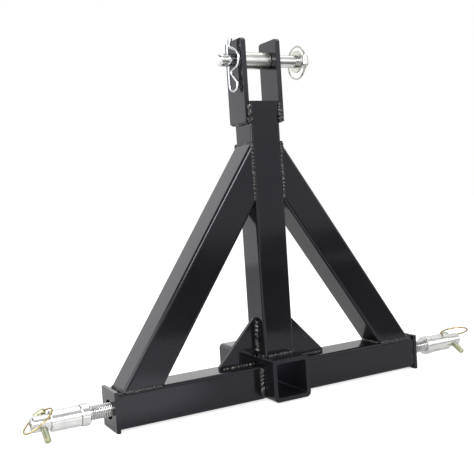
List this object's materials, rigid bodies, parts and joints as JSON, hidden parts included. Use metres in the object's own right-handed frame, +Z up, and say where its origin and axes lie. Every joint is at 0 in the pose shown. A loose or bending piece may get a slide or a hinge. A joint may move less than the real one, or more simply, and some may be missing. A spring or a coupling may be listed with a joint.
{
  "type": "three point receiver hitch",
  "caption": "Welded A-frame for a tractor's three point linkage with a square receiver tube, screwed lower pins and a top link pin.",
  "frame": {"origin": "middle of the hitch pin hole on the receiver tube's centre line", "axes": "+X along the crossbar to the longer exposed lower stud, +Y along the receiver to its drawbar mouth, +Z up the mast"},
  "size_m": [0.7836, 0.1728, 0.5451],
  "materials": {
    "black_paint": "glossy",
    "bright_zinc": "satin",
    "yellow_zinc": "satin",
    "copper_wire": "satin"
  },
  "bodies": {
    "frame": {"receiver_tube": "black_paint", "crossbar_left": "black_paint", "crossbar_right": "black_paint", "mast": "black_paint", "brace_left": "black_paint", "brace_right": "black_paint", "gusset_left": "black_paint", "gusset_right": "black_paint", "end_plate_left": "black_paint", "end_plate_right": "black_paint", "stud_nut_left": "black_paint", "stud_nut_right": "black_paint", "ear_left": "black_paint", "ear_right": "black_paint"},
    "top_pin_set": {"top_pin": "bright_zinc", "pin_washer": "bright_zinc", "hairpin_clip": "bright_zinc", "top_linch_pin": "bright_zinc"},
    "top_ring": {"top_linch_ring": "bright_zinc"},
    "top_sleeve": {"top_sleeve": "bright_zinc"},
    "pin_left": {"lower_pin_left": "bright_zinc", "lower_linch_pin_left": "yellow_zinc"},
    "sleeve_left": {"lower_sleeve_left": "bright_zinc"},
    "ring_left": {"lower_linch_ring_left": "copper_wire"},
    "pin_right": {"lower_pin_right": "bright_zinc", "lower_linch_pin_right": "yellow_zinc"},
    "sleeve_right": {"lower_sleeve_right": "bright_zinc"},
    "ring_right": {"lower_linch_ring_right": "copper_wire"}
  },
  "joints": [
    {"name": "top_pin_slide", "type": "slide", "parent": "frame", "child": "top_pin_set", "axis": [1, 0, 0], "range_m": [-0.041, 0]},
    {"name": "top_ring_swing", "type": "hinge", "parent": "top_pin_set", "child": "top_ring", "pos_m": [0.0835, -0.06872, 0.47765], "axis": [0, 0, 1], "range_deg": [-165, 0]},
    {"name": "top_sleeve_turn", "type": "hinge", "parent": "frame", "child": "top_sleeve", "pos_m": [0, -0.0539, 0.47765], "axis": [1, 0, 0], "continuous": true},
    {"name": "left_pin_screw", "type": "slide", "parent": "frame", "child": "pin_left", "axis": [1, 0, 0], "range_m": [-0.01, 0.0275]},
    {"name": "left_sleeve_turn", "type": "hinge", "parent": "pin_left", "child": "sleeve_left", "pos_m": [-0.3284, -0.0539, -0.00635], "axis": [1, 0, 0], "continuous": true},
    {"name": "left_ring_swing", "type": "hinge", "parent": "pin_left", "child": "ring_left", "pos_m": [-0.35904, -0.04051, 0.00268], "axis": [-0.766, 0.3594, -0.5329], "range_deg": [-15, 160]},
    {"name": "right_pin_screw", "type": "slide", "parent": "frame", "child": "pin_right", "axis": [1, 0, 0], "range_m": [-0.035, 0.01]},
    {"name": "right_sleeve_turn", "type": "hinge", "parent": "pin_right", "child": "sleeve_right", "pos_m": [0.3374, -0.0539, -0.00635], "axis": [1, 0, 0], "continuous": true},
    {"name": "right_ring_swing", "type": "hinge", "parent": "pin_right", "child": "ring_right", "pos_m": [0.36804, -0.03991, 0.00172], "axis": [0.9397, 0.171, -0.2962], "range_deg": [-160, 0]}
  ]
}
